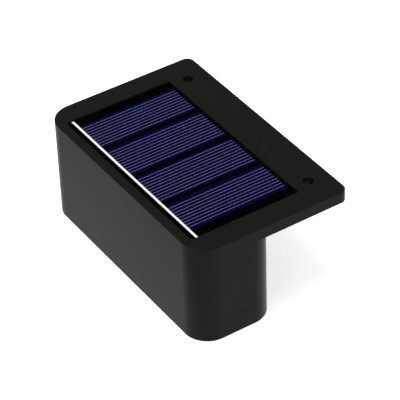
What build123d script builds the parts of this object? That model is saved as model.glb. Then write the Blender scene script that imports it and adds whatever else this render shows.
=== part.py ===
from build123d import *
import math
import os

# Solar fence light: a top plate with a sunken solar panel, a hollow body under its front half and a
# screw flange behind it. The body hangs over the edge of a fence rail, the flange lies on the rail,
# and the light leaves downwards through a frosted window in the screwed bottom cover.
# Frame: +Z up, +X along the width, the front face looks along -Y and the fence is at +Y.
# The origin is the middle of the whole footprint, on the plane that the light stands on.
# All sizes are in millimetres.

# ---------------------------------------------------------------- overall sizes
plate_width = 100.0
plate_depth = 63.2
overall_height = 41.1
plate_thickness = 4.7
body_depth = 32.7
front_corner = 9.5  # upright corners of the body, and the front corners of the plate
plate_back_corner = 3.0
edge_round = 0.15
wall = 2.0

# ---------------------------------------------------------------- plate: recess, screw holes, coring
recess_side_border = 9.0
recess_front_border = 3.65
recess_length = 44.7  # front to back
recess_sunk = 2.3
recess_front_corner = 1.5
recess_back_corner = 0.5
screw_hole_radius = 2.0
screw_hole_side_inset = 12.0
screw_hole_back_inset = 8.5
core_depth = 2.3
core_rib = 1.6
core_count = 7
screw_land = 5.3  # solid plastic kept round each screw hole

# ---------------------------------------------------------------- parting seam and lap joint
seam_z = 8.2
seam_gap = 0.1
skirt_wall = 1.0
lap_clearance = 0.1
tongue_height = 1.4
seam_gasket_height = 0.6
seam_gasket_inset = 0.05

# ---------------------------------------------------------------- screws
screw_clearance = 0.05  # in a pilot hole
screw_passage = 0.15  # in a hole that the screw passes through
cover_boss_offset = 5.0  # from each corner's centre of curvature, outwards on the diagonal
housing_boss_radius = 2.9
housing_boss_height = 14.0
cover_boss_radius = 3.4
cover_screw_radius = 1.1
cover_screw_length = 13.0
cover_screw_head_radius = 2.1
cover_screw_head_height = 1.6
counterbore_slack = 0.3
counterbore_depth = 3.2
board_boss_radius = 2.2
board_screw_radius = 1.0
board_screw_length = 7.0
board_screw_head_radius = 1.9
board_screw_head_height = 1.2
pilot_spare = 1.0  # how much deeper a pilot hole is than its screw
screw_point = 0.5
head_edge_round = 0.5
cross_slot_width = 0.6
cross_slot_length = 2.6
cross_slot_depth = 0.8

# ---------------------------------------------------------------- bottom cover, lens and reflector
cover_floor = 2.0
lens_end_space = 20.0  # from the body's side to the end of the lens opening
lens_width = 14.0
lens_corner = 3.0
lens_fit = 0.2
lens_flange = 2.7
lens_flange_thickness = 1.2
lens_recess = 0.6  # from the standing plane up to the lens
lens_thickness = 1.8
flute_pitch = 2.4
flute_width = 2.0
flute_depth = 0.4
lens_gasket_height = 0.5
optic_fit = 0.2
optic_rib_wall = 1.0
optic_rib_height = 3.2
reflector_height = 7.3
reflector_lip = 0.5  # the reflector's mouth is this much wider than the lens opening
led_channel_width = 5.0
led_channel_side = 7.0
led_channel_height = 1.2
led_channel_corner = 1.0

# ---------------------------------------------------------------- circuit board
board_thickness = 1.0
board_end_clearance = 1.6
board_edge = 3.25  # from a screw's axis to the board's long edge
board_boss_switch_gap = 1.25
board_boss_rib_gap = 0.6
board_corner = 1.0
led_count = 5
led_pitch = 10.0
led_size = (3.5, 2.8, 0.8)
led_dish_radius = 1.1
led_dish_depth = 0.15
chip_size = (4.9, 3.9, 1.5)
chip_x = -12.0
inductor_size = (5.2, 5.2, 3.0)
inductor_end_height = 0.75
inductor_waist_radius = 2.2
inductor_x = 2.0
capacitor_radius = 2.0
capacitor_height = 3.0
capacitor_edge_round = 0.15
component_chamfer = 0.25
capacitor_x = 13.0

# ---------------------------------------------------------------- slide switch
switch_size = (4.4, 8.6, 4.7)
switch_shell = 0.3
switch_base_height = 1.4
switch_fit = 0.05
switch_end_gap = 0.3  # from the board's end to the switch
slider_size = (3.6, 4.6, 1.6)
slider_lift = 0.1
knob_size = (1.5, 2.0)
knob_recess = 0.5  # from the standing plane up to the knob's tip
knob_travel = 2.0
knob_side_gap = 0.15
knob_end_gap = 0.3
knob_chamfer = 0.25
switch_pocket = (5.0, 9.0, 1.0)
switch_pocket_corner = 1.5
pin_size = (0.5, 0.5)
pin_pitch = 2.5
pin_above_board = 1.2
pin_hole_slack = 0.15

# ---------------------------------------------------------------- battery and its holder
battery_radius = 7.25
battery_can_length = 49.2
battery_nub_radius = 2.7
battery_nub_length = 1.0
battery_fit = 0.25
battery_edge_round = 0.8
holder_pad_thickness = 0.8
holder_pad_margin = 2.0
holder_base = 1.5
holder_wall = 1.25
holder_end_wall = 1.6
holder_side_drop = 4.3  # how far the side walls reach below the battery's axis
spring_space = 5.2
lip_length = 8.0
lip_height = 1.2
lip_fit = 0.15
lip_spread = 34.0
contact_thickness = 0.3
contact_width = 8.0
contact_height = 10.0
leaf_width = 6.4
tab_width = 3.0
tab_drop = 2.1  # how far a solder tab hangs below the holder

# ---------------------------------------------------------------- solar panel
panel_fit = 0.15
tape_thickness = 0.3
tape_margin = 0.8
tape_hole_slack = 0.25
panel_board_thickness = 1.2
cell_thickness = 0.25
cell_shares = (0.236, 0.263, 0.253, 0.248)  # of the cells' summed width, left to right
cell_gap = 1.9
cell_left_margin = 3.95
cell_right_margin = 4.35
cell_front_margin = 1.9
cell_back_margin = 1.1
bus_bar_width = 0.85
bus_bar_thickness = 0.1
bus_bar_front_margin = 0.15  # from the cells' front edge
bus_bar_side_margin = 0.05
resin_over_bar = 0.2
resin_gap = 0.02

# ---------------------------------------------------------------- wires
wire_radius = 0.6
wire_spacing = 1.8
wire_hole_radius = 2.25
wire_hole_inset = 6.5  # from the recess's side to the axis of the wire hole
wire_seal_sunk = 0.2
wire_fit = 0.02
wire_seal_fit = 0.1
panel_pad_pitch = 3.0
panel_pad_edge = 2.5  # from the board's back edge to the pads of the panel's wires
battery_pad_inset = 2.3  # from each contact, inwards, to the pad of its wire
battery_pad_spread = 4.0
panel_wire_drop = 0.5  # share of the way down that each wire keeps straight, from its upper end
panel_wire_rise = 0.22  # and straight up from its pad
battery_wire_straight = 0.35  # the same at both ends of the battery's wires
bend_share = 0.45

# ---------------------------------------------------------------- places worked out from the sizes
front_y = -plate_depth / 2
back_y = plate_depth / 2
body_back_y = front_y + body_depth
body_mid_y = (front_y + body_back_y) / 2
plate_bottom = overall_height - plate_thickness

recess_floor = overall_height - recess_sunk
recess_width = plate_width - 2 * recess_side_border
recess_front_y = front_y + recess_front_border
recess_mid_y = recess_front_y + recess_length / 2
recess_back_y = recess_front_y + recess_length

tape_top = recess_floor + tape_thickness
panel_board_top = tape_top + panel_board_thickness
cell_top = panel_board_top + cell_thickness
bus_bar_top = cell_top + bus_bar_thickness
resin_top = bus_bar_top + resin_over_bar
panel_half_width = recess_width / 2 - panel_fit
cells_span = 2 * panel_half_width - cell_left_margin - cell_right_margin
cells_width = cells_span - (len(cell_shares) - 1) * cell_gap
cell_length = recess_length - 2 * panel_fit - cell_front_margin - cell_back_margin
cell_front_y = recess_front_y + panel_fit + cell_front_margin

cover_rim = seam_z - seam_gap / 2
skirt_bottom = seam_z + seam_gap / 2
tongue_top = seam_z + tongue_height
rebate_top = tongue_top + seam_gasket_height

lens_length = plate_width - 2 * lens_end_space
optic_length = lens_length + 2 * lens_flange
optic_width = lens_width + 2 * lens_flange
optic_corner = lens_corner + lens_flange
lens_flange_bottom = cover_floor + lens_gasket_height
lens_flange_top = lens_flange_bottom + lens_flange_thickness
board_bottom = lens_flange_top + reflector_height
board_top = board_bottom + board_thickness

corner_boss_shift = cover_boss_offset / math.sqrt(2)
corner_boss_x = plate_width / 2 - front_corner + corner_boss_shift
corner_boss_reach = body_depth / 2 - front_corner + corner_boss_shift
board_half_length = corner_boss_x - housing_boss_radius - board_end_clearance
switch_x = board_half_length - switch_end_gap - switch_size[0] / 2
board_boss_reach = switch_size[1] / 2 + board_boss_radius + board_boss_switch_gap
rib_half_length = optic_length / 2 + optic_fit + optic_rib_wall
board_boss_x = rib_half_length + board_boss_radius + board_boss_rib_gap
board_width = 2 * (board_boss_reach + board_edge)

holder_bottom_face = plate_bottom - holder_pad_thickness
battery_z = holder_bottom_face - holder_base - battery_fit - battery_radius
holder_low = battery_z - holder_side_drop
holder_length = battery_can_length + battery_nub_length + spring_space + 2 * contact_thickness
holder_half = holder_length / 2 + holder_end_wall
holder_width = 2 * (battery_radius + battery_fit + holder_wall)
contact_x = holder_length / 2 - contact_thickness / 2
tab_tip = holder_low - tab_drop
lip_gap = math.sqrt(battery_radius**2 - (holder_side_drop - lip_height) ** 2) + lip_fit
wire_hole_x = recess_width / 2 - wire_hole_inset
wire_hole_y = (body_mid_y + holder_width / 2 + body_back_y - wall) / 2

middle = (Align.CENTER, Align.CENTER, Align.MIN)


# ---------------------------------------------------------------- small helpers
def slab(sketch, low, high):
    """A flat sketch made solid between two heights."""
    return extrude(Pos(0, 0, low) * sketch, high - low)


def rod(radius, low, high, x, y):
    """An upright cylinder between two heights."""
    return Pos(x, y, low) * Cylinder(radius, high - low, align=middle)


def brick(size_x, size_y, low, high, x, y):
    """An upright box between two heights."""
    return Pos(x, y, low) * Box(size_x, size_y, high - low, align=middle)


def body_outline(inset=0.0):
    """The body's rounded footprint, drawn in by inset."""
    width = plate_width - 2 * inset
    depth = body_depth - 2 * inset
    return Pos(0, body_mid_y) * RectangleRounded(width, depth, front_corner - inset)


def two_corner_outline(width, length, mid_y, front_radius, back_radius):
    """A rectangle with one radius at its two front corners and another at its two back corners."""
    shape = Pos(0, mid_y) * Rectangle(width, length)
    shape = fillet(shape.vertices().sort_by(Axis.Y)[:2], front_radius)
    return fillet(shape.vertices().sort_by(Axis.Y)[-2:], back_radius)


def recess_outline(inset=0.0):
    """The panel recess, drawn in by inset."""
    return two_corner_outline(
        recess_width - 2 * inset,
        recess_length - 2 * inset,
        recess_mid_y,
        recess_front_corner,
        recess_back_corner,
    )


def optic_outline(grow=0.0):
    """The outline that the lens flange, its gasket and the reflector share."""
    shape = RectangleRounded(optic_length + 2 * grow, optic_width + 2 * grow, optic_corner + grow)
    return Pos(0, body_mid_y) * shape


def lens_outline(inset=0.0):
    """The lens opening in the cover, drawn in by inset."""
    shape = RectangleRounded(lens_length - 2 * inset, lens_width - 2 * inset, lens_corner - inset)
    return Pos(0, body_mid_y) * shape


def corner_boss_places():
    """The axes of the four cover screws."""
    return [
        (side * corner_boss_x, body_mid_y + end * corner_boss_reach)
        for side in (-1, 1)
        for end in (-1, 1)
    ]


def board_boss_places():
    """The axes of the two board screws, on a diagonal so that one clears the switch."""
    return [
        (board_boss_x, body_mid_y - board_boss_reach),
        (-board_boss_x, body_mid_y + board_boss_reach),
    ]


def screw_hole_places():
    """The axes of the two fixing holes in the flange."""
    x = plate_width / 2 - screw_hole_side_inset
    y = back_y - screw_hole_back_inset
    return [(-x, y), (x, y)]


def pan_head_screw(radius, length, head_radius, head_height):
    """A screw with its seat at z = 0, its shank upwards and its cross-slotted head below."""
    shank = Cylinder(radius, length, align=middle)
    shank = chamfer(shank.edges().sort_by(Axis.Z)[-1], screw_point)
    head = Pos(0, 0, -head_height) * Cylinder(head_radius, head_height, align=middle)
    head = fillet(head.edges().sort_by(Axis.Z)[0], head_edge_round)
    for size in ((cross_slot_length, cross_slot_width), (cross_slot_width, cross_slot_length)):
        head -= Pos(0, 0, -head_height) * Box(*size, 2 * cross_slot_depth)
    return head + shank


# ---------------------------------------------------------------- shells
def make_housing():
    """Plate and body walls in one moulding, open underneath, with the panel recess on top."""
    plate_sketch = two_corner_outline(plate_width, plate_depth, 0, front_corner, plate_back_corner)
    plate = slab(plate_sketch, plate_bottom, overall_height)
    plate = fillet(plate.faces().sort_by(Axis.Z)[-1].edges(), edge_round)
    shell = plate + slab(body_outline(), skirt_bottom, plate_bottom)
    shell -= slab(body_outline(wall), skirt_bottom, plate_bottom)
    boss_top = seam_z + housing_boss_height
    for x, y in corner_boss_places():
        shell += rod(housing_boss_radius, seam_z, boss_top, x, y)
    lap = body_outline(skirt_wall) - body_outline(wall + lap_clearance)
    shell -= slab(lap, seam_z, rebate_top)
    pilot_top = counterbore_depth + cover_screw_length + pilot_spare
    for x, y in corner_boss_places():
        shell -= rod(cover_screw_radius + screw_clearance, seam_z, pilot_top, x, y)
    shell -= slab(recess_outline(), recess_floor, overall_height)
    shell -= rod(wire_hole_radius, plate_bottom, recess_floor, wire_hole_x, wire_hole_y)
    for x, y in screw_hole_places():
        shell -= rod(screw_hole_radius, plate_bottom, overall_height, x, y)
    return shell - flange_cores()


def flange_cores():
    """Shallow pockets in the flange's underside, which keep its walls even between ribs."""
    core_top = plate_bottom + core_depth
    row_front = recess_back_y + wall
    row_back = back_y - wall
    row_half = plate_width / 2 - screw_hole_side_inset - screw_land
    core_width = (2 * row_half - (core_count - 1) * core_rib) / core_count
    cores = []
    for i in range(core_count):
        x = -row_half + core_width / 2 + i * (core_width + core_rib)
        y = (row_front + row_back) / 2
        cores.append(brick(core_width, row_back - row_front, plate_bottom, core_top, x, y))
    side_width = recess_side_border - 2 * wall
    side_front = body_back_y + wall
    side_back = back_y - screw_hole_back_inset - screw_land
    for side in (-1, 1):
        x = side * (plate_width / 2 - wall - side_width / 2)
        y = (side_front + side_back) / 2
        cores.append(brick(side_width, side_back - side_front, plate_bottom, core_top, x, y))
    return cores


def make_bottom_cover():
    """The tray under the seam: lens opening, switch slot, screw bosses and the lap joint's tongue."""
    tray = slab(body_outline(), 0, cover_rim)
    tray = fillet(tray.faces().sort_by(Axis.Z)[0].edges(), edge_round)
    tray -= slab(body_outline(wall), cover_floor, cover_rim)
    tongue_inset = skirt_wall + lap_clearance
    tray += slab(body_outline(tongue_inset) - body_outline(wall), cover_floor, tongue_top)
    for x, y in corner_boss_places():
        tray += rod(cover_boss_radius, cover_floor / 2, seam_z, x, y)
    rib = optic_outline(optic_fit + optic_rib_wall) - optic_outline(optic_fit)
    tray += slab(rib, cover_floor, cover_floor + optic_rib_height)
    for x, y in board_boss_places():
        tray += rod(board_boss_radius, cover_floor, board_bottom, x, y)
        pilot_bottom = board_top - board_screw_length - pilot_spare
        tray -= rod(board_screw_radius + screw_clearance, pilot_bottom, board_bottom, x, y)
    for x, y in corner_boss_places():
        tray -= rod(cover_screw_radius + screw_passage, 0, seam_z, x, y)
        tray -= rod(cover_screw_head_radius + counterbore_slack, 0, counterbore_depth, x, y)
    tray -= slab(lens_outline(), 0, cover_floor)
    pocket = RectangleRounded(switch_pocket[0], switch_pocket[1], switch_pocket_corner)
    tray -= slab(Pos(switch_x, body_mid_y) * pocket, 0, switch_pocket[2])
    slot_x = knob_size[0] + 2 * knob_side_gap
    slot_y = knob_size[1] + knob_travel + 2 * knob_end_gap
    return tray - brick(slot_x, slot_y, 0, cover_floor, switch_x, body_mid_y)


def make_seam_gasket():
    """Ring of seal cord on top of the cover's tongue."""
    outer = body_outline(skirt_wall + lap_clearance + seam_gasket_inset)
    inner = body_outline(wall - seam_gasket_inset)
    return slab(outer - inner, tongue_top, rebate_top)


# ---------------------------------------------------------------- light: lens, reflector, board
def make_lens():
    """Frosted window: a flange inside the cover, and a fluted face that looks down."""
    face = slab(lens_outline(lens_fit), lens_recess, lens_flange_bottom)
    lens = face + slab(optic_outline(), lens_flange_bottom, lens_flange_top)
    lens -= slab(lens_outline(lens_flange), lens_recess + lens_thickness, lens_flange_top)
    flute_count = int((lens_length - 2 * lens_corner) / flute_pitch)
    radius = ((flute_width / 2) ** 2 + flute_depth**2) / (2 * flute_depth)
    flute = Rot(90, 0, 0) * Cylinder(radius, 2 * lens_width)
    flute_z = lens_recess + flute_depth - radius
    cuts = [
        Pos((i - (flute_count - 1) / 2) * flute_pitch, body_mid_y, flute_z) * flute
        for i in range(flute_count)
    ]
    return lens - cuts


def make_lens_gasket():
    """Flat seal between the cover's floor and the lens flange."""
    return slab(optic_outline() - lens_outline(), cover_floor, lens_flange_bottom)


def make_reflector():
    """White tray that spreads the LEDs' light over the lens and holds the lens down."""
    block = slab(optic_outline(), lens_flange_top, board_bottom)
    mouth = lens_outline(-reflector_lip)
    throat_length = (led_count - 1) * led_pitch + led_channel_side
    throat = RectangleRounded(throat_length, led_channel_width, led_channel_corner)
    throat = Pos(0, body_mid_y) * throat
    throat_z = board_bottom - led_channel_height
    cavity = loft([Pos(0, 0, lens_flange_top) * mouth, Pos(0, 0, throat_z) * throat])
    return block - cavity - slab(throat, throat_z, board_bottom)


def make_led_board():
    """Circuit board with clearance holes for its screws and the switch pins."""
    outline = RectangleRounded(2 * board_half_length, board_width, board_corner)
    board = slab(Pos(0, body_mid_y) * outline, board_bottom, board_top)
    for x, y in board_boss_places():
        board -= rod(board_screw_radius + screw_passage, board_bottom, board_top, x, y)
    for y in pin_places():
        hole = [size + pin_hole_slack for size in pin_size]
        board -= brick(*hole, board_bottom, board_top, switch_x, y)
    return board


def make_leds():
    """A row of flat LEDs that hang from the board's underside."""
    low = board_bottom - led_size[2]
    leds = []
    for i in range(led_count):
        x = (i - (led_count - 1) / 2) * led_pitch
        led = brick(led_size[0], led_size[1], low, board_bottom, x, body_mid_y)
        leds.append(led - rod(led_dish_radius, low, low + led_dish_depth, x, body_mid_y))
    return leds


def board_part(size, x):
    """A block-shaped component in the middle of the board's top."""
    block = brick(size[0], size[1], board_top, board_top + size[2], x, body_mid_y)
    return chamfer(block.edges().group_by(Axis.Z)[-1], component_chamfer)


def make_inductor():
    """Drum inductor: two square ends round a wound waist."""
    size_x, size_y, height = inductor_size
    top = board_top + height
    end = inductor_end_height
    drum = brick(size_x, size_y, board_top, board_top + end, inductor_x, body_mid_y)
    drum += rod(inductor_waist_radius, board_top, top, inductor_x, body_mid_y)
    return drum + brick(size_x, size_y, top - end, top, inductor_x, body_mid_y)


def make_capacitor():
    """Low can capacitor with a rounded top."""
    can = rod(capacitor_radius, board_top, board_top + capacitor_height, capacitor_x, body_mid_y)
    return fillet(can.edges().sort_by(Axis.Z)[-1], capacitor_edge_round)


# ---------------------------------------------------------------- slide switch
def pin_places():
    """Y positions of the switch's three pins."""
    return [body_mid_y + i * pin_pitch for i in (-1, 0, 1)]


def make_switch_case():
    """Folded steel shell, open towards the board, with a slot for the knob."""
    size_x, size_y, height = switch_size
    low = board_bottom - height
    case = brick(size_x, size_y, low, board_bottom, switch_x, body_mid_y)
    inner_x = size_x - 2 * switch_shell
    inner_y = size_y - 2 * switch_shell
    case -= brick(inner_x, inner_y, low + switch_shell, board_bottom, switch_x, body_mid_y)
    slot_x = knob_size[0] + knob_side_gap
    slot_y = knob_size[1] + knob_travel + 2 * knob_side_gap
    return case - brick(slot_x, slot_y, low, low + switch_shell, switch_x, body_mid_y)


def make_switch_base():
    """Insulating block that closes the switch and carries its pins."""
    inner_x = switch_size[0] - 2 * switch_shell - 2 * switch_fit
    inner_y = switch_size[1] - 2 * switch_shell - 2 * switch_fit
    low = board_bottom - switch_base_height
    base = brick(inner_x, inner_y, low, board_bottom, switch_x, body_mid_y)
    for y in pin_places():
        hole = [size + 2 * wire_fit for size in pin_size]
        base -= brick(*hole, low, board_bottom, switch_x, y)
    return base


def make_switch_pins():
    """Three pins through the base and the board."""
    low = board_bottom - switch_base_height
    high = board_top + pin_above_board
    return [brick(*pin_size, low, high, switch_x, y) for y in pin_places()]


def make_switch_knob():
    """Slider inside the case and the knob that reaches down into the cover's pocket."""
    case_floor = board_bottom - switch_size[2] + switch_shell
    rest_y = body_mid_y - knob_travel / 2
    low = case_floor + slider_lift
    slider = brick(slider_size[0], slider_size[1], low, low + slider_size[2], switch_x, rest_y)
    knob = brick(*knob_size, knob_recess, low, switch_x, rest_y)
    return slider + chamfer(knob.edges().group_by(Axis.Z)[0], knob_chamfer)


# ---------------------------------------------------------------- battery and holder
def make_battery():
    """AA size cell lying along X, its nub towards +X."""
    nub_tip = contact_x - contact_thickness / 2
    can_end = nub_tip - battery_nub_length
    can = Cylinder(battery_radius, battery_can_length, align=middle)
    can = fillet(can.edges().filter_by(GeomType.CIRCLE), battery_edge_round)
    nub = Pos(0, 0, battery_can_length) * Cylinder(
        battery_nub_radius, battery_nub_length, align=middle
    )
    return Pos(can_end - battery_can_length, body_mid_y, battery_z) * Rot(0, 90, 0) * (can + nub)


def make_battery_holder():
    """Tray that hangs from the housing's ceiling, open underneath, with lips that keep the cell in."""
    holder = brick(2 * holder_half, holder_width, holder_low, holder_bottom_face, 0, body_mid_y)
    inner_width = holder_width - 2 * holder_wall
    inner_top = holder_bottom_face - holder_base
    holder -= brick(holder_length, inner_width, holder_low, inner_top, 0, body_mid_y)
    lip_width = inner_width / 2 - lip_gap
    lip_shift = inner_width / 2 - lip_width / 2
    for side in (-1, 1):
        for end in (-1, 1):
            x = end * lip_spread / 2
            y = body_mid_y + side * lip_shift
            holder += brick(lip_length, lip_width, holder_low, holder_low + lip_height, x, y)
    return holder


def make_holder_pad():
    """Foam tape between the holder and the housing's ceiling."""
    length = 2 * (holder_half - holder_pad_margin)
    width = holder_width - 2 * holder_pad_margin
    return brick(length, width, holder_bottom_face, plate_bottom, 0, body_mid_y)


def contact_plate(x):
    """Flat sprung-steel plate against the holder's end wall, with a solder tab below it."""
    low = battery_z - contact_height / 2
    high = battery_z + contact_height / 2
    plate = brick(contact_thickness, contact_width, low, high, x, body_mid_y)
    return plate + brick(contact_thickness, tab_width, tab_tip, low, x, body_mid_y)


def make_contact_negative():
    """Contact plate with a bowed leaf that presses on the flat end of the battery."""
    battery_end = contact_x - contact_thickness / 2 - battery_nub_length - battery_can_length
    face_x = -contact_x + contact_thickness / 2
    reach = battery_end - face_x - contact_thickness / 2
    root = (-contact_x, battery_z + contact_height / 2 - contact_thickness / 2)
    crown = (face_x + reach, battery_z)
    foot = (face_x + contact_thickness, battery_z - contact_height / 2 + contact_thickness)
    leaf = Plane.XZ * trace(ThreePointArc(root, crown, foot), contact_thickness)
    strip = extrude(leaf, leaf_width / 2, both=True)
    return contact_plate(-contact_x) + Pos(0, body_mid_y, 0) * strip


# ---------------------------------------------------------------- solar panel
def make_panel_adhesive():
    """Thin double-sided tape under the panel, with a hole for its wires."""
    tape = slab(recess_outline(panel_fit + tape_margin), recess_floor, tape_top)
    hole_radius = wire_hole_radius + tape_hole_slack
    return tape - rod(hole_radius, recess_floor, tape_top, wire_hole_x, wire_hole_y)


def make_panel_board():
    """Black board that fills the recess with a small gap all round."""
    return slab(recess_outline(panel_fit), tape_top, panel_board_top)


def cell_places():
    """The middle and the width of each cell, left to right."""
    places = []
    left = cell_left_margin - panel_half_width
    for share in cell_shares:
        width = share * cells_width
        places.append((left + width / 2, width))
        left += width + cell_gap
    return places


def cell_block(x, width, gap=0.0):
    """One cell, grown by gap at its sides and top for the resin cast over it."""
    y = cell_front_y + cell_length / 2
    length = cell_length + 2 * gap
    return brick(width + 2 * gap, length, panel_board_top, cell_top + gap, x, y)


def bar_block(gap=0.0):
    """The ribbon across the cells' front ends, grown by gap in the same way."""
    length = 2 * (panel_half_width - bus_bar_side_margin)
    y = cell_front_y + bus_bar_front_margin + bus_bar_width / 2
    return brick(length, bus_bar_width + 2 * gap, cell_top - gap, bus_bar_top + gap, 0, y)


def make_panel_resin():
    """Clear resin cast over the board, the cells and the ribbon."""
    resin = slab(recess_outline(panel_fit), panel_board_top + resin_gap, resin_top)
    for x, width in cell_places():
        resin -= cell_block(x, width, resin_gap)
    return resin - bar_block(resin_gap)


# ---------------------------------------------------------------- wires
def bend_radii(points):
    """The largest tangent arc that fits at each inner point of a route."""
    radii = []
    for before, here, after in zip(points, points[1:], points[2:]):
        run_in = Vector(*here) - Vector(*before)
        run_out = Vector(*after) - Vector(*here)
        half_turn = math.radians(run_in.get_angle(run_out)) / 2
        radii.append(bend_share * min(run_in.length, run_out.length) / math.tan(half_turn))
    return radii


def make_wire(name, points):
    """An insulated wire along straight runs joined by tangent arcs."""
    radii = bend_radii(points)
    print(name, "bend radii", [round(r, 1) for r in radii])
    path = FilletPolyline(*points, radius=radii)
    start = Plane(origin=path @ 0, z_dir=path % 0)
    wire = sweep(start * Circle(wire_radius), path=path)
    section = math.pi * wire_radius**2
    print(name, "length", round(path.length, 1), "volume", round(wire.volume / section, 1))
    return wire


def panel_wire_route(side):
    """From the panel's underside through the wire hole and past the holder, down to the board."""
    x = wire_hole_x + side * wire_spacing / 2
    pad_x = wire_hole_x + side * panel_pad_pitch / 2
    pad_y = body_mid_y + board_width / 2 - panel_pad_edge
    fall = tape_top - board_top
    return [
        (x, wire_hole_y, tape_top),
        (x, wire_hole_y, tape_top - panel_wire_drop * fall),
        (pad_x, pad_y, board_top + panel_wire_rise * fall),
        (pad_x, pad_y, board_top),
    ]


def battery_wire_route(end):
    """From a contact's solder tab down to the board."""
    pad_x = end * (contact_x - battery_pad_inset)
    pad_y = body_mid_y + end * battery_pad_spread
    fall = tab_tip - board_top
    return [
        (end * contact_x, body_mid_y, tab_tip),
        (end * contact_x, body_mid_y, tab_tip - battery_wire_straight * fall),
        (pad_x, pad_y, board_top + battery_wire_straight * fall),
        (pad_x, pad_y, board_top),
    ]


def make_wire_seal():
    """Plug in the wire hole, cast round the two wires."""
    low = plate_bottom + wire_seal_sunk
    high = recess_floor - wire_seal_sunk
    plug = rod(wire_hole_radius - wire_fit, low, high, wire_hole_x, wire_hole_y)
    for side in (-1, 1):
        x = wire_hole_x + side * wire_spacing / 2
        plug -= rod(wire_radius + wire_seal_fit, low, high, x, wire_hole_y)
    return plug


# ---------------------------------------------------------------- assembly
def cover_screws():
    """Four screws that pull the cover up against the housing."""
    screw = pan_head_screw(
        cover_screw_radius, cover_screw_length, cover_screw_head_radius, cover_screw_head_height
    )
    return [Pos(x, y, counterbore_depth) * screw for x, y in corner_boss_places()]


def board_screws():
    """Two screws that clamp board, reflector and lens down on the cover."""
    screw = pan_head_screw(
        board_screw_radius, board_screw_length, board_screw_head_radius, board_screw_head_height
    )
    return [Pos(x, y, board_top) * Rot(180, 0, 0) * screw for x, y in board_boss_places()]


def all_parts():
    """Every sub-part by the name of its node."""
    parts = {
        "housing": make_housing(),
        "bottom_cover": make_bottom_cover(),
        "seam_gasket": make_seam_gasket(),
        "lens": make_lens(),
        "lens_gasket": make_lens_gasket(),
        "reflector": make_reflector(),
        "led_board": make_led_board(),
        "leds": make_leds(),
        "controller_chip": board_part(chip_size, chip_x),
        "inductor": make_inductor(),
        "capacitor": make_capacitor(),
        "switch_case": make_switch_case(),
        "switch_base": make_switch_base(),
        "switch_pins": make_switch_pins(),
        "switch_knob": make_switch_knob(),
        "cover_screws": cover_screws(),
        "board_screws": board_screws(),
        "battery": make_battery(),
        "battery_holder": make_battery_holder(),
        "holder_pad": make_holder_pad(),
        "contact_positive": contact_plate(contact_x),
        "contact_negative": make_contact_negative(),
        "panel_adhesive": make_panel_adhesive(),
        "panel_board": make_panel_board(),
        "bus_bar": bar_block(),
        "panel_resin": make_panel_resin(),
        "wire_seal": make_wire_seal(),
        "panel_wire_red": make_wire("panel_wire_red", panel_wire_route(1)),
        "panel_wire_black": make_wire("panel_wire_black", panel_wire_route(-1)),
        "battery_wire_red": make_wire("battery_wire_red", battery_wire_route(1)),
        "battery_wire_black": make_wire("battery_wire_black", battery_wire_route(-1)),
    }
    for i, (x, width) in enumerate(cell_places(), start=1):
        parts[f"solar_cell_{i}"] = cell_block(x, width)
    return parts


def main():
    os.makedirs("parts", exist_ok=True)
    for name, shape in all_parts().items():
        solids = shape if isinstance(shape, list) else [shape]
        bodies = [solid for item in solids for solid in item.solids()]
        group = bodies[0] if len(bodies) == 1 else Compound(children=bodies)
        export_step(group, f"parts/{name}.step")


main()
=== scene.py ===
"""A solar fence light in a plain studio.

Each operator finishes one group of the light's parts or adds pieces that are too fine for the
solid model, such as the silver print on the solar cells. The last one sets up the studio."""

import math

import bmesh
import bpy
from bpy.props import FloatProperty, FloatVectorProperty, IntVectorProperty, PointerProperty
from mathutils import Matrix, Vector


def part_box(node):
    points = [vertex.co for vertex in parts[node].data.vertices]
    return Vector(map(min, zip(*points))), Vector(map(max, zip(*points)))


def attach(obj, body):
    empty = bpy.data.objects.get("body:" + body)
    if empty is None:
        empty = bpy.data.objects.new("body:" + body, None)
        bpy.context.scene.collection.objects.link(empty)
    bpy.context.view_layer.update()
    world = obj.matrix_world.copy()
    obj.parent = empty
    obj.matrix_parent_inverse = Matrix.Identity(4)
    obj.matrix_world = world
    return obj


bl_info = {
    "name": "Solar fence light",
    "version": (1, 0, 0),
    "blender": (4, 5, 0),
    "location": "View3D > Sidebar > Fence light",
    "description": "Finishes, fine pieces and studio for a solar fence light",
    "category": "Object",
}

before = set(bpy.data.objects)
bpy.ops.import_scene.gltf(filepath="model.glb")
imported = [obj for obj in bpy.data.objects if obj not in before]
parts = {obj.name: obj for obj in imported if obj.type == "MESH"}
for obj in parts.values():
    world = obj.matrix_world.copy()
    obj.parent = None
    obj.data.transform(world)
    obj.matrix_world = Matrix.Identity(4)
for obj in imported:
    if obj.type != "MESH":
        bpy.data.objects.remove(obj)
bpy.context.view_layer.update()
MM = 0.001  # a millimetre in metres
ROUND_STEPS = 24  # sides of a small round piece

# A Mix node has several sockets of each name. These are the numbers of the ones for colours.
FACTOR, FIRST, SECOND, MIXED = 0, 6, 7, 2


# ---------------------------------------------------------------- settings
def linear(code):
    """An sRGB hex colour, such as #1c1c1a, as linear red, green, blue and alpha."""
    shares = [int(code[i : i + 2], 16) / 255 for i in (1, 3, 5)]
    curve = [s / 12.92 if s <= 0.04045 else ((s + 0.055) / 1.055) ** 2.4 for s in shares]
    return (*curve, 1.0)


def colour(name, description, code):
    """A colour setting whose default is an sRGB hex colour."""
    return FloatVectorProperty(
        name=name,
        description=description,
        default=linear(code),
        size=4,
        min=0,
        max=1,
        subtype="COLOR",
    )


def length(name, description, default_mm):
    """A length setting in metres whose default is given in millimetres."""
    return FloatProperty(
        name=name,
        description=description,
        default=default_mm * MM,
        min=0,
        precision=5,
        subtype="DISTANCE",
        unit="LENGTH",
    )


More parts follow.
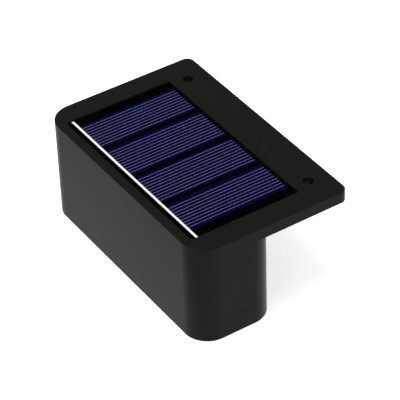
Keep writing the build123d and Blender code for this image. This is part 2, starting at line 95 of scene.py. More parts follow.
def share(name, description, default):
    """A setting from 0 to 1."""
    return FloatProperty(
        name=name, description=description, default=default, min=0, max=1, subtype="FACTOR"
    )


def angle(name, description, degrees):
    """An angle setting whose default is given in degrees."""
    return FloatProperty(
        name=name,
        description=description,
        default=math.radians(degrees),
        subtype="ANGLE",
        unit="ROTATION",
    )


class ShellSettings(bpy.types.PropertyGroup):
    plastic: colour("Plastic", "Black of the moulded housing and cover", "#161614")
    gasket: colour("Gasket", "Black of the rubber seals", "#0e0e0e")
    grain: length("Grain", "Width of the grains in the moulded surface", 0.35)
    grain_depth: length("Grain depth", "Depth of the moulded grain", 0.004)


class PanelSettings(bpy.types.PropertyGroup):
    board: colour("Board", "Black board under the cells", "#020203")
    cell: colour("Cell", "Dark blue of the silicon cells", "#06042a")
    crystal: length("Crystal", "Width of the crystals in the silicon", 3.0)
    # The cells' side and back edges are darkened by painted shade over this width.
    cell_edge_shade: length("Cell fade", "How far the blue coat fades in from a cell's edges", 0.5)
    ribbon: colour("Ribbon", "White of the ribbon across the cells", "#fcfcfc")
    resin_cover: share("Resin cover", "How much the clear resin hides", 0.01)
    finger: colour("Finger", "Silver of the printed fingers", "#7a78aa")
    finger_counts: IntVectorProperty(
        name="Fingers",
        description="Fingers on each cell, left to right",
        default=(9, 10, 10, 9),
        size=4,
        min=1,
    )
    finger_pitch: length("Finger pitch", "From one finger to the next", 1.565)
    finger_width: length("Finger width", "Width of a finger", 0.18)
    finger_height: length("Finger height", "Thickness of the silver print", 0.014)
    finger_end: length("Finger end", "From a finger's end to the cell's back edge", 0.15)


class InsideSettings(bpy.types.PropertyGroup):
    lens: colour("Lens", "Frosted window underneath", "#dfe4e3")
    reflector: colour("Reflector", "White tray round the LEDs", "#f1f0ea")
    solder_mask: colour("Solder mask", "White lacquer on the circuit board", "#e6e8e0")
    board_core: colour("Board core", "Glass fibre at the board's edges", "#a8935a")
    phosphor: colour("Phosphor", "Yellow layer in the LEDs", "#f2dd5c")
    lead_pitch: length("Lead pitch", "From one lead of the chip to the next", 1.27)
    lead_width: length("Lead width", "Width of a lead of the chip", 0.41)
    coil_wire: length("Coil wire", "Thickness of the copper wire in the inductor", 0.25)
    solder_spread: length("Solder spread", "How far solder reaches round a wire or pin", 0.5)
    solder_rise: length("Solder rise", "How far solder climbs up a wire or pin", 0.6)
    sleeve: colour("Battery sleeve", "Plastic sleeve of the battery", "#2f7a4a")
    red_wire: colour("Red wire", "Insulation of the positive wires", "#b01c1c")
    black_wire: colour("Black wire", "Insulation of the negative wires", "#171717")


class StudioSettings(bpy.types.PropertyGroup):
    target: FloatVectorProperty(
        name="Target",
        description="Point that the camera looks at",
        default=(0.0014376, 0.0013524, 0.0192318),
        subtype="TRANSLATION",
        unit="LENGTH",
    )
    distance: length("Distance", "From the target to the camera", 795.0)
    heading: angle("Heading", "How far the camera stands round from front to right", 57.521)
    height: angle("Height", "How far the camera looks down", 38.351)
    tilt: angle("Tilt", "How far the camera is rolled", -2.068)
    focal_length: FloatProperty(
        name="Focal length",
        description="Focal length of the lens in millimetres",
        default=197.958,
        min=1,
        subtype="DISTANCE_CAMERA",
    )
    fill: share("Fill", "Soft light from all round", 0.5)
    ceiling: share("Ceiling", "How bright the ceiling looks in a reflection", 0.14)
    floor: colour("Floor", "Pale floor", "#f6f6f1")
    floor_size: length("Floor size", "From the middle of the floor to its side", 4000)
    floor_lift: share("Floor lift", "How much brighter the floor looks to the camera", 0.6)
    floor_gleam: share("Floor gleam", "How bright the floor looks in a reflection", 1.0)
    floor_front: share("Floor front", "The same some way in front of the light", 0.68)
    gleam_near: length("Gleam near", "How far in front of the origin the floor starts to dim", 30)
    gleam_far: length("Gleam far", "How far in front of the origin it has dimmed", 90)


# ---------------------------------------------------------------- patterns
def add_node(tree, kind, inputs=None, **settings):
    """Adds a node with its settings. Each input is linked if it is a socket, and set if not."""
    node = tree.nodes.new(kind)
    for name, value in settings.items():
        setattr(node, name, value)
    for socket, value in (inputs or {}).items():
        if isinstance(value, bpy.types.NodeSocket):
            tree.links.new(value, node.inputs[socket])
        else:
            node.inputs[socket].default_value = value
    return node


def new_finish(name, sockets):
    """A material whose Principled shader has these constant values."""
    material = bpy.data.materials.new(name)
    material.use_nodes = True
    shader = material.node_tree.nodes["Principled BSDF"]
    for socket, value in sockets.items():
        shader.inputs[socket].default_value = value
    return material, material.node_tree, shader


def noise(tree, grain_mm, stretch=(1, 1, 1), detail=2.0):
    """Noise whose grains are about this wide, drawn out along an axis where stretch is over 1."""
    place = add_node(tree, "ShaderNodeTexCoord")
    spread = add_node(
        tree,
        "ShaderNodeMapping",
        {"Vector": place.outputs["Object"], "Scale": [1 / s for s in stretch]},
    )
    grains = add_node(
        tree,
        "ShaderNodeTexNoise",
        {"Vector": spread.outputs[0], "Scale": 1 / (grain_mm * MM), "Detail": detail},
    )
    return grains.outputs["Fac"]


def object_axis(tree, axis, output="Object"):
    """One of X, Y and Z of the object's own coordinates or normal."""
    place = add_node(tree, "ShaderNodeTexCoord")
    split = add_node(tree, "ShaderNodeSeparateXYZ", {0: place.outputs[output]})
    return split.outputs[axis]


def faces_along(tree, axis, limit):
    """1 where the surface looks along this axis, either way, and 0 where it looks aside."""
    lean = add_node(
        tree, "ShaderNodeMath", {0: object_axis(tree, axis, "Normal")}, operation="ABSOLUTE"
    )
    step = add_node(
        tree, "ShaderNodeMath", {0: lean.outputs[0], 1: limit}, operation="GREATER_THAN"
    )
    return step.outputs[0]


def shade(base, amount):
    """A colour made lighter or darker by a share."""
    return (*(min(1.0, c * (1 + amount)) for c in base[:3]), 1.0)


def tint(tree, shader, factor, first, second):
    """Base colour that goes from first to second with factor."""
    mix = add_node(
        tree,
        "ShaderNodeMix",
        {FACTOR: factor, FIRST: first, SECOND: second},
        data_type="RGBA",
    )
    tree.links.new(mix.outputs[MIXED], shader.inputs["Base Color"])
    return mix.outputs[MIXED]


def mottle(tree, shader, pattern, base, amount):
    """Base colour that varies by this share either way."""
    return tint(tree, shader, pattern, shade(base, -amount), shade(base, amount))


def vary_roughness(tree, shader, pattern, low, high):
    """Roughness that goes from low to high with a pattern."""
    spread = add_node(
        tree, "ShaderNodeMapRange", {"Value": pattern, "To Min": low, "To Max": high}
    )
    tree.links.new(spread.outputs[0], shader.inputs["Roughness"])


def emboss(tree, shader, pattern, depth_mm):
    """Relief of this depth from a pattern."""
    bump = add_node(tree, "ShaderNodeBump", {"Height": pattern, "Distance": depth_mm * MM})
    tree.links.new(bump.outputs[0], shader.inputs["Normal"])


# ---------------------------------------------------------------- finishes
def moulded_abs(name, base, grain_mm, depth_mm):
    """ABS moulded in a spark-eroded tool: a dull satin with a fine even grain and a weak gleam.

    The real grain is about 0.05 mm wide, too fine to show, so it is drawn several times wider."""
    material, tree, shader = new_finish(name, {"IOR": 1.54, "Specular IOR Level": 0.095})
    grains = noise(tree, grain_mm)
    mottle(tree, shader, noise(tree, grain_mm=9), base, 0.06)
    vary_roughness(tree, shader, grains, 0.28, 0.35)
    emboss(tree, shader, grains, depth_mm)
    return material


def soft_rubber(name, base):
    """Silicone rubber: matt and slightly uneven."""
    material, tree, shader = new_finish(name, {"IOR": 1.41, "Roughness": 0.75})
    mottle(tree, shader, noise(tree, grain_mm=0.8), base, 0.12)
    return material


def matt_lacquer(name, base):
    """Black solder mask under resin: almost no gleam, so that it shows as plain black."""
    material, tree, shader = new_finish(name, {"Specular IOR Level": 0.015, "Roughness": 0.2})
    mottle(tree, shader, noise(tree, grain_mm=0.6), base, 0.2)
    return material


def polished_silicon(name, base, crystal_mm, corners, fade):
    """Blue silicon whose crystals differ a little, with painted shade darkening it towards its
    side and back edges.
    """
    material, tree, shader = new_finish(name, {"Specular IOR Level": 0.03, "Roughness": 0.2})
    place = add_node(tree, "ShaderNodeTexCoord")
    crystals = add_node(
        tree,
        "ShaderNodeTexVoronoi",
        {"Vector": place.outputs["Object"], "Scale": 1 / (crystal_mm * MM)},
    )
    split = add_node(tree, "ShaderNodeSeparateColor", {0: crystals.outputs["Color"]})
    crystal_tone = mottle(tree, shader, split.outputs[0], base, 0.07)
    low, high = corners
    left, right, back = (
        add_node(tree, "ShaderNodeMath", {0: more, 1: less}, operation="SUBTRACT").outputs[0]
        for more, less in (
            (object_axis(tree, "X"), low.x),
            (high.x, object_axis(tree, "X")),
            (high.y, object_axis(tree, "Y")),
        )
    )
    side = add_node(tree, "ShaderNodeMath", {0: left, 1: right}, operation="MINIMUM")
    edge = add_node(tree, "ShaderNodeMath", {0: side.outputs[0], 1: back}, operation="MINIMUM")
    # Painted shade: the cell is half as bright at its side and back edges and reaches its full
    # colour over the width fade.
    edge_shade = add_node(
        tree,
        "ShaderNodeMapRange",
        {"Value": edge.outputs[0], "From Max": fade},
        interpolation_type="SMOOTHSTEP",
    )
    tint(tree, shader, edge_shade.outputs[0], shade(base, -0.5), crystal_tone)
    return material


def white_enamel(name, base):
    """Tinned copper ribbon with a baked white coating: clean, flat white."""
    material, tree, shader = new_finish(name, {"Roughness": 0.4})
    mottle(tree, shader, noise(tree, grain_mm=1.2), base, 0.01)
    return material


def silver_paste(name, base):
    """Screen-printed silver, fired dull: pale, a little uneven along its length."""
    material, tree, shader = new_finish(name, {"Specular IOR Level": 0.05, "Roughness": 0.5})
    mottle(tree, shader, noise(tree, grain_mm=0.4, stretch=(1, 6, 1)), base, 0.06)
    return material


def cast_resin(name, base, cover):
    """Clear epoxy cast over the cells: all but unseen over dark silicon."""
    material, _, _ = new_finish(
        name,
        {"Base Color": base, "Alpha": cover, "Specular IOR Level": 0.0, "Roughness": 0.12},
    )
    return material


def frosted_polycarbonate(name, base):
    """Polycarbonate moulded against a blasted tool: milky, light sinks in a little.

    The real blasted grain is about 0.08 mm wide, so it is drawn three times wider to show."""
    material, tree, shader = new_finish(
        name,
        {
            "IOR": 1.58,
            "Subsurface Weight": 0.35,
            "Subsurface Radius": (2 * MM, 2 * MM, 2 * MM),
            "Subsurface Scale": 1.0,
        },
    )
    grains = noise(tree, grain_mm=0.25)
    mottle(tree, shader, noise(tree, grain_mm=5), base, 0.02)
    vary_roughness(tree, shader, grains, 0.42, 0.55)
    emboss(tree, shader, grains, depth_mm=0.004)
    return material


def gloss_styrene(name, base):
    """White polystyrene from a polished tool: smooth, bright and even."""
    material, tree, shader = new_finish(name, {"IOR": 1.59, "Roughness": 0.22})
    mottle(tree, shader, noise(tree, grain_mm=4), base, 0.015)
    return material


def board_laminate(name, mask, core):
    """Glass-fibre laminate: lacquered on both faces, tan with fine layers at its sawn edges."""
    material, tree, shader = new_finish(name, {"Roughness": 0.4})
    layers = noise(tree, grain_mm=0.12, stretch=(8, 8, 1))
    edge = add_node(
        tree,
        "ShaderNodeMix",
        {FACTOR: layers, FIRST: shade(core, -0.25), SECOND: shade(core, 0.25)},
        data_type="RGBA",
    )
    tint(tree, shader, faces_along(tree, "Z", 0.5), edge.outputs[MIXED], mask)
    return material


def phosphor_led(name, ceramic, base):
    """Surface-mounted LED: white ceramic with a grainy yellow phosphor layer in its dish.

    The real phosphor grains are about 0.02 mm wide, too fine to show, so they are drawn wider."""
    material, tree, shader = new_finish(name, {"Roughness": 0.3})
    low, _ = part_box("leds")
    dish_depth, tolerance = 0.15 * MM, 0.03 * MM
    dish = add_node(
        tree,
        "ShaderNodeMath",
        {0: object_axis(tree, "Z"), 1: low.z + dish_depth, 2: tolerance},
        operation="COMPARE",
    )
    layer = add_node(
        tree,
        "ShaderNodeMix",
        {FACTOR: noise(tree, grain_mm=0.08), FIRST: shade(base, -0.1), SECOND: shade(base, 0.05)},
        data_type="RGBA",
    )
    tint(tree, shader, dish.outputs[0], ceramic, layer.outputs[MIXED])
    return material


def moulded_epoxy(name, base):
    """Black epoxy as chips are moulded from: dull, with a fine grain.

    The real filler grains are about 0.05 mm wide, so they are drawn three times wider to show."""
    material, tree, shader = new_finish(name, {"Roughness": 0.65})
    grains = noise(tree, grain_mm=0.15)
    mottle(tree, shader, grains, base, 0.15)
    emboss(tree, shader, grains, depth_mm=0.006)
    return material


def drawn_metal(name, base, grain_mm, stretch, low, high):
    """Metal with fine marks along the way it was drawn or rolled, or all ways where it was plated.

    Real marks are about 0.02 mm wide, too fine to show, so they are drawn wider."""
    material, tree, shader = new_finish(name, {"Metallic": 1.0})
    marks = noise(tree, grain_mm, stretch=stretch, detail=4.0)
    mottle(tree, shader, marks, base, 0.08)
    vary_roughness(tree, shader, marks, low, high)
    return material


def battery_sleeve(name, sleeve, can):
    """Shrunk plastic sleeve on a nickel-plated can, whose bare ends show at both sides."""
    material, tree, shader = new_finish(name, {"Roughness": 0.3})
    end = faces_along(tree, "X", 0.6)
    tint(tree, shader, end, sleeve, can)
    tree.links.new(end, shader.inputs["Metallic"])
    return material


def closed_foam(name, base):
    """Closed-cell foam tape: pale, with fine pores."""
    material, tree, shader = new_finish(name, {"Roughness": 0.85})
    pores = noise(tree, grain_mm=0.3)
    mottle(tree, shader, pores, base, 0.08)
    emboss(tree, shader, pores, depth_mm=0.05)
    return material


def wire_insulation(name, base):
    """Soft PVC insulation: smooth with a low gleam."""
    material, tree, shader = new_finish(name, {"IOR": 1.53, "Roughness": 0.35})
    mottle(tree, shader, noise(tree, grain_mm=1.5), base, 0.05)
    return material


def dress(material, *names):
    """Gives parts of the solid model this material."""
    for name in names:
        for slot in parts[name].material_slots:
            slot.material = material


# ---------------------------------------------------------------- added pieces
def add_piece(name, slot, material, maker, *details, body="light"):
    """A new piece made by a bmesh function, finished and riding on a body of the model."""
    mesh = bpy.data.meshes.new(name)
    shape = bmesh.new()
    maker(shape, *details)
    bmesh.ops.recalc_face_normals(shape, faces=shape.faces)
    shape.to_mesh(mesh)
    shape.free()
    mesh.materials.append(material)
    piece = bpy.data.objects.new(name, mesh)
    bpy.context.scene.collection.objects.link(piece)
    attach(piece, body)


def print_fingers(shape, look, cell, count):
    """A row of thin bars on a cell, each with its upper edges drawn in as paste dries."""
    low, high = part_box(cell)
    front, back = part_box("bus_bar")[1].y, high.y - look.finger_end
    middle = high.z + look.finger_height / 2
    crown_width = 0.8
    for i in range(count):
        x = (low.x + high.x) / 2 + (i - (count - 1) / 2) * look.finger_pitch
        place = Matrix.Translation((x, (front + back) / 2, middle))
        size = Matrix.Diagonal((look.finger_width, back - front, look.finger_height, 1))
        bar = bmesh.ops.create_cube(shape, size=1, matrix=place @ size)
        crown = [v for v in bar["verts"] if v.co.z > middle]
        to_middle = Matrix.Translation((-x, 0, 0))
        bmesh.ops.scale(shape, verts=crown, vec=(crown_width, 1, 1), space=to_middle)


def bend_leads(shape, look):
    """Two rows of four leads: out of the chip's sides, down, and flat on the board."""
    low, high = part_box("controller_chip")
    middle = (low + high) / 2
    leads, thickness, clear = 4, 0.2 * MM, 0.01 * MM
    shoulder, slope, foot = 0.35 * MM, 0.2 * MM, 0.5 * MM
    fall = middle.z - low.z - thickness / 2
    half = Vector((look.lead_width / 2, 0, 0))
    for side in (-1, 1):
        for i in range(leads):
            x = middle.x + (i - (leads - 1) / 2) * look.lead_pitch
            y = middle.y + side * ((high.y - low.y) / 2 + clear)
            root = Vector((x, y, middle.z))
            edges = [shape.edges.new([shape.verts.new(root + d) for d in (-half, half)])]
            strip = []
            for out, down in ((shoulder, 0), (slope, fall), (foot, 0)):
                grown = bmesh.ops.extrude_edge_only(shape, edges=edges)["geom"]
                tips = [g for g in grown if isinstance(g, bmesh.types.BMVert)]
                bmesh.ops.translate(shape, verts=tips, vec=(0, side * out, -down))
                edges = [e for e in shape.edges if all(v in tips for v in e.verts)]
                strip += [g for g in grown if isinstance(g, bmesh.types.BMFace)]
            bmesh.ops.recalc_face_normals(shape, faces=strip)
            bmesh.ops.solidify(shape, geom=strip, thickness=thickness)


def spin_round(shape, outline, middle):
    """Spins a closed outline once round an upright axis and shades it smooth."""
    edges = [e for e in shape.edges if e.verts[0] in outline]
    bmesh.ops.spin(
        shape,
        geom=[*outline, *edges],
        cent=middle,
        axis=(0, 0, 1),
        angle=math.tau,
        steps=ROUND_STEPS,
        use_merge=True,
    )
    for face in shape.faces:
        face.smooth = True


def wind_coil(shape, look):
    """Turns of copper wire side by side round the inductor's waist, between its square ends."""
    low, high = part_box("inductor")
    middle = (low + high) / 2
    waist_radius, end_height = 2.2 * MM, 0.75 * MM
    wire_radius = 0.49 * look.coil_wire  # a little under half, so that turns don't touch
    turns = int((high.z - low.z - 2 * end_height) / look.coil_wire)
    upright = Matrix.Rotation(math.pi / 2, 4, "X")
    for i in range(turns):
        z = middle.z + (i - (turns - 1) / 2) * look.coil_wire
        x = middle.x + waist_radius + look.coil_wire / 2
        place = Matrix.Translation((x, middle.y, z)) @ upright
        wire = bmesh.ops.create_circle(shape, segments=8, radius=wire_radius, matrix=place)
        spin_round(shape, wire["verts"], middle)


def foot_of(name):
    """The middle of a part's lowest face."""
    low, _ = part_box(name)
    foot = [v.co for v in parts[name].data.vertices if v.co.z < low.z + 0.01 * MM]
    across = [(min(p[i] for p in foot) + max(p[i] for p in foot)) / 2 for i in (0, 1)]
    return Vector((*across, low.z))


def flow_solder(shape, look):
    """A hollow-sided cone of solder round each wire and pin that ends on the board."""
    board_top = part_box("led_board")[1].z
    wire_radius, pin_radius, gap = 0.6 * MM, 0.36 * MM, 0.02 * MM
    wires = [f"{end}_wire_{tone}" for end in ("panel", "battery") for tone in ("red", "black")]
    joints = [(foot_of(name), wire_radius) for name in wires]
    low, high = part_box("switch_pins")
    row = (low + high) / 2
    half_pin = (high.x - low.x) / 2
    for y in (low.y + half_pin, row.y, high.y - half_pin):
        joints.append((Vector((row.x, y, 0)), pin_radius))
    for middle, radius in joints:
        inner = radius + gap
        outline = (
            (inner, 0),
            (inner + look.solder_spread, 0),
            (inner + 0.35 * look.solder_spread, 0.3 * look.solder_rise),
            (inner + 0.05 * look.solder_spread, look.solder_rise),
        )
        rim = bmesh.ops.create_circle(shape, segments=len(outline), radius=inner)["verts"]
        for vert, (reach, rise) in zip(rim, outline):
            vert.co = (middle.x + reach, middle.y, board_top + rise)
        spin_round(shape, rim, middle)


# ---------------------------------------------------------------- operators for the light
class FENCELIGHT_OT_shells(bpy.types.Operator):
    """Finish the housing, the bottom cover and the seals between them"""

    bl_idname = "fence_light.shells"
    bl_label = "Shells and seals"

    def execute(self, context):
        look = context.scene.fence_light_shell
        plastic = moulded_abs(
            "satin_moulded_abs", look.plastic, look.grain / MM, look.grain_depth / MM
        )
        dress(plastic, "housing", "bottom_cover")
        dress(soft_rubber("silicone_seal", look.gasket), "seam_gasket", "lens_gasket", "wire_seal")
        return {"FINISHED"}


class FENCELIGHT_OT_panel(bpy.types.Operator):
    """Finish the solar panel: board, cells, ribbon, resin and tape"""

    bl_idname = "fence_light.panel"
    bl_label = "Solar panel"

    def execute(self, context):
        look = context.scene.fence_light_panel
        dress(matt_lacquer("black_solder_mask", look.board), "panel_board")
        for i in range(1, len(look.finger_counts) + 1):
            cell = f"solar_cell_{i}"
            silicon = polished_silicon(
                f"blue_silicon_{i}", look.cell, look.crystal / MM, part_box(cell), look.cell_edge_shade
            )
            dress(silicon, cell)
        dress(white_enamel("white_coated_ribbon", look.ribbon), "bus_bar")
        resin = cast_resin("clear_cast_resin", linear("#06060a"), look.resin_cover)
        dress(resin, "panel_resin")
        dress(closed_foam("panel_tape_foam", linear("#d8d8d4")), "panel_adhesive")
        return {"FINISHED"}


class FENCELIGHT_OT_fingers(bpy.types.Operator):
    """Print the silver fingers on the four cells"""

    bl_idname = "fence_light.fingers"
    bl_label = "Cell fingers"

    def execute(self, context):
        look = context.scene.fence_light_panel
        paste = silver_paste("fired_silver_paste", look.finger)
        for i, count in enumerate(look.finger_counts, start=1):
            cell = f"solar_cell_{i}"
            add_piece(
                f"cell_fingers_{i}", "silicon_cell", paste, print_fingers, look, cell, count
            )
        return {"FINISHED"}


class FENCELIGHT_OT_optics(bpy.types.Operator):
    """Finish the window, the reflector and the LEDs"""

    bl_idname = "fence_light.optics"
    bl_label = "Window and reflector"

    def execute(self, context):
        look = context.scene.fence_light_inside
        dress(frosted_polycarbonate("frosted_polycarbonate", look.lens), "lens")
        dress(gloss_styrene("white_polystyrene", look.reflector), "reflector")
        dress(phosphor_led("phosphor_led", linear("#f3f2ec"), look.phosphor), "leds")
        return {"FINISHED"}


class FENCELIGHT_OT_electronics(bpy.types.Operator):
    """Finish the circuit board and its components"""

    bl_idname = "fence_light.electronics"
    bl_label = "Circuit board"

    def execute(self, context):
        look = context.scene.fence_light_inside
        dress(board_laminate("lacquered_laminate", look.solder_mask, look.board_core), "led_board")
        black = moulded_epoxy("moulded_epoxy", linear("#1b1b1b"))
        dress(black, "controller_chip", "inductor", "switch_base")
        can = drawn_metal("drawn_aluminium", linear("#c9c9c6"), 0.2, (1, 1, 6), 0.25, 0.4)
        dress(can, "capacitor")
        return {"FINISHED"}


class FENCELIGHT_OT_joints(bpy.types.Operator):
    """Add the chip's leads, the inductor's winding and the solder on the circuit board"""

    bl_idname = "fence_light.joints"
    bl_label = "Leads, winding and solder"

    def execute(self, context):
        look = context.scene.fence_light_inside
        tin = drawn_metal("tinned_copper", linear("#c6c6c2"), 0.15, (1, 6, 1), 0.25, 0.35)
        copper = drawn_metal("enamelled_copper", linear("#b4622f"), 0.2, (1, 1, 1), 0.2, 0.3)
        solder = drawn_metal("reflowed_solder", linear("#c9cac9"), 0.3, (1, 1, 1), 0.14, 0.26)
        add_piece("chip_leads", "sheet_steel", tin, bend_leads, look)
        add_piece("inductor_winding", "black_component", copper, wind_coil, look)
        add_piece("solder_joints", "sheet_steel", solder, flow_solder, look)
        return {"FINISHED"}


class FENCELIGHT_OT_power(bpy.types.Operator):
    """Finish the battery, its holder, contacts and wires"""

    bl_idname = "fence_light.power"
    bl_label = "Battery and wires"

    def execute(self, context):
        look = context.scene.fence_light_inside
        dress(battery_sleeve("shrink_sleeve", look.sleeve, linear("#b9b9b4")), "battery")
        dress(moulded_abs("holder_abs", linear("#1a1a1a"), 0.3, 0.003), "battery_holder")
        dress(closed_foam("holder_pad_foam", linear("#dededa")), "holder_pad")
        spring = drawn_metal("nickel_plated_strip", linear("#c4c1b8"), 0.15, (1, 1, 8), 0.22, 0.34)
        dress(spring, "contact_positive", "contact_negative")
        dress(wire_insulation("red_pvc", look.red_wire), "panel_wire_red", "battery_wire_red")
        black = wire_insulation("black_pvc", look.black_wire)
        dress(black, "panel_wire_black", "battery_wire_black")
        return {"FINISHED"}


class FENCELIGHT_OT_switch(bpy.types.Operator):
    """Finish the slide switch and its knob"""

    bl_idname = "fence_light.switch"
    bl_label = "Slide switch"

    def execute(self, context):
        shell = drawn_metal("tinned_sheet_steel", linear("#bdbdb9"), 0.15, (1, 8, 1), 0.25, 0.4)
        dress(shell, "switch_case", "switch_pins")
        dress(moulded_abs("knob_abs", linear("#151515"), 0.2, 0.002), "switch_knob")
        return {"FINISHED"}


class FENCELIGHT_OT_screws(bpy.types.Operator):
    """Finish the cover screws and the board screws"""

    bl_idname = "fence_light.screws"
    bl_label = "Screws"

    def execute(self, context):
        zinc = drawn_metal("zinc_plated_steel", linear("#b4b7ba"), 0.3, (1, 1, 1), 0.3, 0.45)
        dress(zinc, "cover_screws", "board_screws")
        return {"FINISHED"}


# ---------------------------------------------------------------- studio
def seen_rays(tree):
    """1 for rays from the camera, and 1 for rays from a reflection or through glass."""
    rays = add_node(tree, "ShaderNodeLightPath")
    mirrored = add_node(
        tree,
        "ShaderNodeMath",
        {0: rays.outputs["Is Glossy Ray"], 1: rays.outputs["Is Transmission Ray"]},
        operation="MAXIMUM",
    )
    return rays.outputs["Is Camera Ray"], mirrored.outputs[0]


def paper_floor(look):
    """Matt white paper, as white as the backdrop, with a soft shadow. It is clear from below."""
    material = bpy.data.materials.new("white_paper")
    material.use_nodes = True
    tree = material.node_tree
    tree.nodes.clear()
    camera, mirrored = seen_rays(tree)
    lift = add_node(tree, "ShaderNodeMath", {0: camera, 1: look.floor_lift}, operation="MULTIPLY")
    glow = add_node(tree, "ShaderNodeEmission", {"Strength": lift.outputs[0]})
    paper = add_node(tree, "ShaderNodeBsdfDiffuse", {"Color": look.floor})
    seen = add_node(tree, "ShaderNodeAddShader", {0: glow.outputs[0], 1: paper.outputs[0]})
    front = add_node(
        tree,
        "ShaderNodeMapRange",
        {
            "Value": object_axis(tree, "Y"),
            "From Min": -look.gleam_far,
            "From Max": -look.gleam_near,
            "To Min": look.floor_front,
            "To Max": look.floor_gleam,
        },
        interpolation_type="SMOOTHSTEP",
    )
    gleam = add_node(
        tree, "ShaderNodeEmission", {"Color": look.floor, "Strength": front.outputs[0]}
    )
    both = add_node(
        tree, "ShaderNodeMixShader", {0: mirrored, 1: seen.outputs[0], 2: gleam.outputs[0]}
    )
    side = add_node(tree, "ShaderNodeNewGeometry")
    clear = add_node(tree, "ShaderNodeBsdfTransparent")
    one_sided = add_node(
        tree,
        "ShaderNodeMixShader",
        {0: side.outputs["Backfacing"], 1: both.outputs[0], 2: clear.outputs[0]},
    )
    add_node(tree, "ShaderNodeOutputMaterial", {"Surface": one_sided.outputs[0]})
    material.cycles.emission_sampling = "NONE"  # its glow is only seen, and lights nothing
    return material


def open_floor(shape, size):
    """A flat floor with an opening under the light's foot, so that light reaches its underside."""
    low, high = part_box("bottom_cover")
    inset = 4 * MM
    across, along = Vector((1, 0, 0)), Vector((0, 1, 0))
    bmesh.ops.create_grid(shape, x_segments=1, y_segments=1, size=size)
    for place, axis in (
        (low.x + inset, across),
        (high.x - inset, across),
        (low.y + inset, along),
        (high.y - inset, along),
    ):
        bmesh.ops.bisect_plane(
            shape,
            geom=shape.verts[:] + shape.edges[:] + shape.faces[:],
            plane_co=axis * place,
            plane_no=axis,
        )
    middle = (low + high) / 2
    under = [f for f in shape.faces if (f.calc_center_median() - middle).xy.length < inset]
    bmesh.ops.delete(shape, geom=under, context="FACES")


def lay_floor(scene, look):
    """The paper floor that the light stands on."""
    mesh = bpy.data.meshes.new("floor")
    shape = bmesh.new()
    open_floor(shape, look.floor_size)
    shape.to_mesh(mesh)
    shape.free()
    mesh.materials.append(paper_floor(look))
    floor = bpy.data.objects.new("floor", mesh)
    scene.collection.objects.link(floor)


def soft_world(scene, look):
    """White all round for the camera, dim overhead in reflections, and an even fill light."""
    world = bpy.data.worlds.new("studio")
    scene.world = world
    world.use_nodes = True
    world.cycles.sampling_method = "NONE"  # light this even needs no rays aimed at it
    tree = world.node_tree
    tree.nodes.clear()
    camera, mirrored = seen_rays(tree)
    place = add_node(tree, "ShaderNodeTexCoord")
    split = add_node(tree, "ShaderNodeSeparateXYZ", {0: place.outputs["Generated"]})
    backdrop_top, ceiling_edge = 0.1, 0.45  # heights on the sky, from 0 at the horizon to 1
    ceiling = add_node(
        tree,
        "ShaderNodeMapRange",
        {
            "Value": split.outputs["Z"],
            "From Min": backdrop_top,
            "From Max": ceiling_edge,
            "To Min": 1.0,
            "To Max": look.ceiling,
        },
        interpolation_type="SMOOTHSTEP",
    )
    unseen = add_node(
        tree,
        "ShaderNodeMix",
        {"Factor": mirrored, "A": look.fill, "B": ceiling.outputs[0]},
        data_type="FLOAT",
    )
    bright = add_node(
        tree,
        "ShaderNodeMix",
        {"Factor": camera, "A": unseen.outputs[0], "B": 1.0},
        data_type="FLOAT",
    )
    back = add_node(
        tree,
        "ShaderNodeBackground",
        {"Color": linear("#ffffff"), "Strength": bright.outputs[0]},
    )
    add_node(tree, "ShaderNodeOutputWorld", {"Surface": back.outputs[0]})


def look_at(target, heading, height, distance, tilt=0.0):
    """A place this far off that faces the target, heading round from the front to the right."""
    away = Vector(
        (
            math.sin(heading) * math.cos(height),
            -math.cos(heading) * math.cos(height),
            math.sin(height),
        )
    )
    turn = away.to_track_quat("Z", "Y").to_matrix().to_4x4()
    return Matrix.Translation(target + away * distance) @ turn @ Matrix.Rotation(tilt, 4, "Z")


def softbox(scene, name, heading, height, distance, size, power):
    """A square lamp aimed at the light. Angles are in degrees, sizes in metres, power in watts."""
    lamp = bpy.data.lights.new(name, "AREA")
    lamp.shape = "SQUARE"
    lamp.size = size
    lamp.energy = power
    stand = bpy.data.objects.new(name, lamp)
    scene.collection.objects.link(stand)
    half_way_up = Vector((0, 0, 20 * MM))
    stand.matrix_world = look_at(
        half_way_up, math.radians(heading), math.radians(height), distance
    )


def set_camera(scene, look):
    """A long lens that looks down on the light's right front corner."""
    lens = bpy.data.cameras.new("camera")
    lens.lens = look.focal_length
    lens.sensor_width = 36
    lens.clip_start = 10 * MM
    camera = bpy.data.objects.new("camera", lens)
    scene.collection.objects.link(camera)
    camera.matrix_world = look_at(
        Vector(look.target), look.heading, look.height, look.distance, look.tilt
    )
    scene.camera = camera


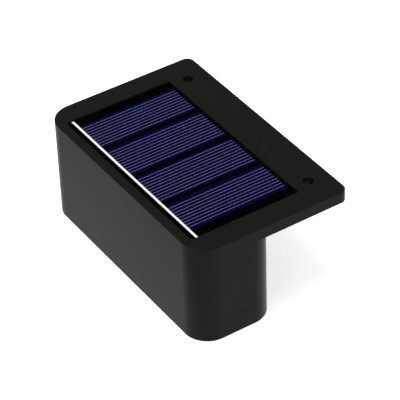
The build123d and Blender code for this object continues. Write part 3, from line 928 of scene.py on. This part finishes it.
class FENCELIGHT_OT_stage(bpy.types.Operator):
    """Add the floor, the world, the soft lamps and the camera"""

    bl_idname = "fence_light.stage"
    bl_label = "Studio"

    def execute(self, context):
        scene = context.scene
        look = scene.fence_light_studio
        lay_floor(scene, look)
        soft_world(scene, look)
        softbox(scene, "overhead_softbox", -20, 78, distance=1.1, size=0.7, power=6.8)
        softbox(scene, "left_softbox", -50, 35, distance=1.2, size=0.8, power=2.2)
        softbox(scene, "right_softbox", 75, 30, distance=1.3, size=0.8, power=1.6)
        scene.view_settings.view_transform = "Standard"
        set_camera(scene, look)
        return {"FINISHED"}


class FENCELIGHT_PT_tools(bpy.types.Panel):
    """Lists the steps and the settings that they use"""

    bl_label = "Fence light"
    bl_idname = "FENCELIGHT_PT_tools"
    bl_space_type = "VIEW_3D"
    bl_region_type = "UI"
    bl_category = "Fence light"

    def draw(self, context):
        for operator in operators:
            self.layout.operator(operator.bl_idname)
        for name in settings:
            box = self.layout.box()
            group = getattr(context.scene, name)
            for key in group.bl_rna.properties.keys():
                if key not in ("rna_type", "name"):
                    box.prop(group, key)


operators = (
    FENCELIGHT_OT_shells,
    FENCELIGHT_OT_panel,
    FENCELIGHT_OT_fingers,
    FENCELIGHT_OT_optics,
    FENCELIGHT_OT_electronics,
    FENCELIGHT_OT_joints,
    FENCELIGHT_OT_power,
    FENCELIGHT_OT_switch,
    FENCELIGHT_OT_screws,
    FENCELIGHT_OT_stage,
)
settings = {
    "fence_light_shell": ShellSettings,
    "fence_light_panel": PanelSettings,
    "fence_light_inside": InsideSettings,
    "fence_light_studio": StudioSettings,
}


def register():
    for cls in (*settings.values(), *operators, FENCELIGHT_PT_tools):
        bpy.utils.register_class(cls)
    for name, group in settings.items():
        setattr(bpy.types.Scene, name, PointerProperty(type=group))


def unregister():
    for name in settings:
        delattr(bpy.types.Scene, name)
    for cls in reversed((*settings.values(), *operators, FENCELIGHT_PT_tools)):
        bpy.utils.unregister_class(cls)


def main():
    """Runs each operator in order."""
    register()
    for operator in operators:
        family, name = operator.bl_idname.split(".")
        getattr(getattr(bpy.ops, family), name)()


if __name__ == "__main__":
    main()
